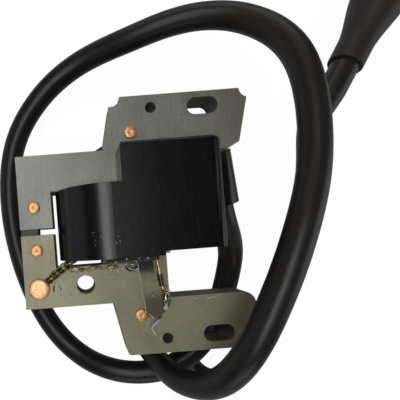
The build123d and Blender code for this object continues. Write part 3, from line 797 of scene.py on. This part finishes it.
solder = blob(
    "solder_drop",
    [
        ((-0.1, -22.9, 11.3), (1.3, 1.3, 0.85)),
        ((0.3, -21.7, 11.3), (0.7, 1.0, 0.6)),
        ((-0.5, -24.0, 11.1), (0.8, 0.9, 0.5)),
    ],
    voxel=0.14,
    roughen=0.2,
)
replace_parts(add_piece("solder_drop", solder, solder_metal), "solder_joint")

strap_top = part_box("terminal_insulator")[1].z / MM + 0.5
edge = [(-7.68, -9.6), (-7.68, -13.3), (-6.95, -20.5), (-6.28, -27.4)]
edge = [(x, y, strap_top) for x, y in edge]
add_piece("strap_burr", tube("strap_burr", edge, (0.1, 0.15, 0.11)), bare_edge_and_glint)
# Painted highlight: a pale crescent on one side of the punch dimple in the strap.
crescent = [(-4.5, -22.3, strap_top + 0.3), (-3.8, -21.9, strap_top + 0.42), (-3.2, -22.7, strap_top + 0.3)]
dimple_glint = tube("strap_dimple_glint", crescent, (0.06, 0.17, 0.06))
add_piece("strap_dimple_glint", dimple_glint, bare_edge_and_glint)
punch = [(-42.6, 3.0, 9.52), (-42.3, 2.6, 9.55), (-41.8, 2.8, 9.55), (-41.7, 3.3, 9.52), (-42.1, 3.6, 9.5)]
add_piece("punch_mark", tube("punch_mark", punch, (0.08, 0.14, 0.08)), solder_metal)


ARM_HOLE = Vector((-24.0, -17.3))
ARM_HOLE_R = 3.2
CASE_ROUND_X = -15.1
CASE_ROUND_R = 16.5


def case_front(x):
    """Height of the case's front face, which falls away as a half-round on the left."""
    past = max(0.0, CASE_ROUND_X - x)
    return CASE_FRONT_Z - CASE_ROUND_R + math.sqrt(CASE_ROUND_R**2 - past**2)


def speck_field(name, count, x_range, y_range, face, size, material):
    """Flakes of dried varnish on a face whose height is a function of X. None lie over the arm's hole."""
    flakes = []
    for i in range(count):
        x = rng.uniform(*x_range)
        centre = (x, rng.uniform(*y_range), face(x))
        scale = size * rng.uniform(0.5, 1.4)
        if (Vector(centre[:2]) - ARM_HOLE).length < ARM_HOLE_R:
            continue
        work = bmesh.new()
        for vertex in bmesh.ops.create_icosphere(work, subdivisions=2, radius=1.0)["verts"]:
            lump = 1 + 0.5 * noise.noise(vertex.co * 1.3 + Vector((i, i * 2.0, 0)))
            flat = Vector((vertex.co.x, vertex.co.y * 0.7, vertex.co.z * 0.4))
            vertex.co = (Vector(centre) + flat * scale * lump) * MM
        flake = bpy.data.meshes.new(f"{name}_{i}")
        work.to_mesh(flake)
        work.free()
        flakes.append(flake)
    add_piece(name, joined(name, flakes), material)


speck_field("case_specks", 18, (-21.5, -13.6), (-5.4, -1.6), case_front, 0.13, pale_varnish)
speck_field(
    "arm_specks", 26, (-36.0, -13.0), (-22.5, -13.0), lambda x: FRONT_Z, 0.16, dark_varnish
)


# ---------------------------------------------------------------- floor, light and camera
def area_light(name, place, target, width, height, power):
    """Soft rectangular light that faces a point, its height running along Y."""
    data = bpy.data.lights.new(name, "AREA")
    data.shape = "RECTANGLE"
    data.size = width
    data.size_y = height
    data.energy = power
    light = bpy.data.objects.new(name, data)
    light.location = place
    back = (Vector(place) - Vector(target)).normalized()
    across = Vector((0, 1, 0)).cross(back).normalized()
    light.rotation_euler = Matrix((across, back.cross(across), back)).transposed().to_euler()
    bpy.context.scene.collection.objects.link(light)


FLOOR_DROP = 0.0005
FLOOR_HALF = 3.0
FLOOR_GLOW = 1.08
FLOOR_GLOW_SHARE = 0.88
SKY_STRENGTH = 0.02


def floor():
    """Wide pale floor just under the object. It looks almost white, with a faint soft shadow."""
    mesh = bpy.data.meshes.new("floor")
    z = cad_low.z - FLOOR_DROP
    signs = ((-1, -1), (1, -1), (1, 1), (-1, 1))
    corners = [(x * FLOOR_HALF, y * FLOOR_HALF) for x, y in signs]
    mesh.from_pydata([(x, y, z) for x, y in corners], [], [(0, 1, 2, 3)])
    paint = Paint("floor_paper", roughness=0.9)
    tone = paint.noise((0.01, 0.01, 0.01), detail=2)
    paint.set("Base Color", paint.ramp(tone, (0.3, (0.86, 0.86, 0.86)), (0.7, (0.88, 0.88, 0.88))))
    paint.set("Specular IOR Level", 0.0)
    glow = paint.tree.nodes.new("ShaderNodeEmission")
    glow.inputs["Strength"].default_value = FLOOR_GLOW
    seen = paint.tree.nodes.new("ShaderNodeLightPath")
    share = paint.tree.nodes.new("ShaderNodeMath")
    share.operation = "MULTIPLY"
    share.inputs[1].default_value = FLOOR_GLOW_SHARE
    blend = paint.tree.nodes.new("ShaderNodeMixShader")
    output = paint.tree.nodes["Material Output"]
    paint.link(seen.outputs["Is Camera Ray"], share.inputs[0])
    paint.link(share.outputs[0], blend.inputs[0])
    paint.link(paint.bsdf.outputs[0], blend.inputs[1])
    paint.link(glow.outputs[0], blend.inputs[2])
    paint.link(blend.outputs[0], output.inputs["Surface"])
    plane = bpy.data.objects.new("floor", mesh)
    mesh.materials.append(paint.material)
    bpy.context.scene.collection.objects.link(plane)


floor()
middle = (-0.005, 0.0, 0.01)
area_light("key_box", (-0.125, 0.03, 0.6), middle, 0.2, 0.6, 1.7)
area_light("second_strip", (0.078, 0.05, 0.6), middle, 0.025, 0.4, 0.03)
area_light("left_box", (-0.8, 0.1, 0.25), middle, 0.5, 0.6, 0.35)
area_light("right_box", (0.8, -0.1, 0.25), middle, 0.5, 0.6, 1.1)
area_light("top_box", (0.0, 0.85, 0.35), middle, 0.8, 0.3, 1.2)
area_light("bottom_box", (0.0, -0.85, 0.35), middle, 0.8, 0.3, 1.2)

world = bpy.data.worlds.new("studio")
world.use_nodes = True
world_nodes = world.node_tree.nodes
dim_sky = world_nodes["Background"]
dim_sky.inputs["Color"].default_value = (0.9, 0.95, 1.0, 1.0)
dim_sky.inputs["Strength"].default_value = SKY_STRENGTH
pale_backdrop = world_nodes.new("ShaderNodeBackground")
pale_backdrop.inputs["Color"].default_value = (0.9, 0.9, 0.9, 1.0)
backdrop_ray = world_nodes.new("ShaderNodeLightPath")
backdrop_blend = world_nodes.new("ShaderNodeMixShader")
world.node_tree.links.new(backdrop_ray.outputs["Is Camera Ray"], backdrop_blend.inputs[0])
world.node_tree.links.new(dim_sky.outputs[0], backdrop_blend.inputs[1])
world.node_tree.links.new(pale_backdrop.outputs[0], backdrop_blend.inputs[2])
world.node_tree.links.new(backdrop_blend.outputs[0], world_nodes["World Output"].inputs["Surface"])
bpy.context.scene.world = world
bpy.context.scene.view_settings.view_transform = "Standard"

# The picture was taken from close above the pole bars, off the middle of the picture, so the lens
# is shifted. The shift holds only while the camera stands at this place.
CAMERA_PLACE = Vector((-24.8, -3.4, 115.5)) * MM
CAMERA_TURN = math.radians(-4.4)
SENSOR = 36.0
FOCAL_SHARE = 343 / 400
SHIFT = {"shift_x": 0.30, "shift_y": 0.10}

camera_data = bpy.data.cameras.new("camera")
camera_data.sensor_width = SENSOR
camera_data.lens = SENSOR * FOCAL_SHARE
camera_data.clip_start = 0.005
camera = bpy.data.objects.new("camera", camera_data)
camera.location = CAMERA_PLACE
camera.rotation_euler = (0, 0, CAMERA_TURN)
bpy.context.scene.collection.objects.link(camera)
bpy.context.scene.camera = camera

for channel, amount in SHIFT.items():
    driver = camera_data.driver_add(channel).driver
    for variable_name, axis in (("x", "LOC_X"), ("z", "LOC_Z")):
        variable = driver.variables.new()
        variable.name = variable_name
        variable.type = "TRANSFORMS"
        variable.targets[0].id = camera
        variable.targets[0].transform_type = axis
    at_place = f"abs(x - {CAMERA_PLACE.x:.5f}) + abs(z - {CAMERA_PLACE.z:.5f}) < 0.0001"
    driver.expression = f"{amount} if {at_place} else 0"
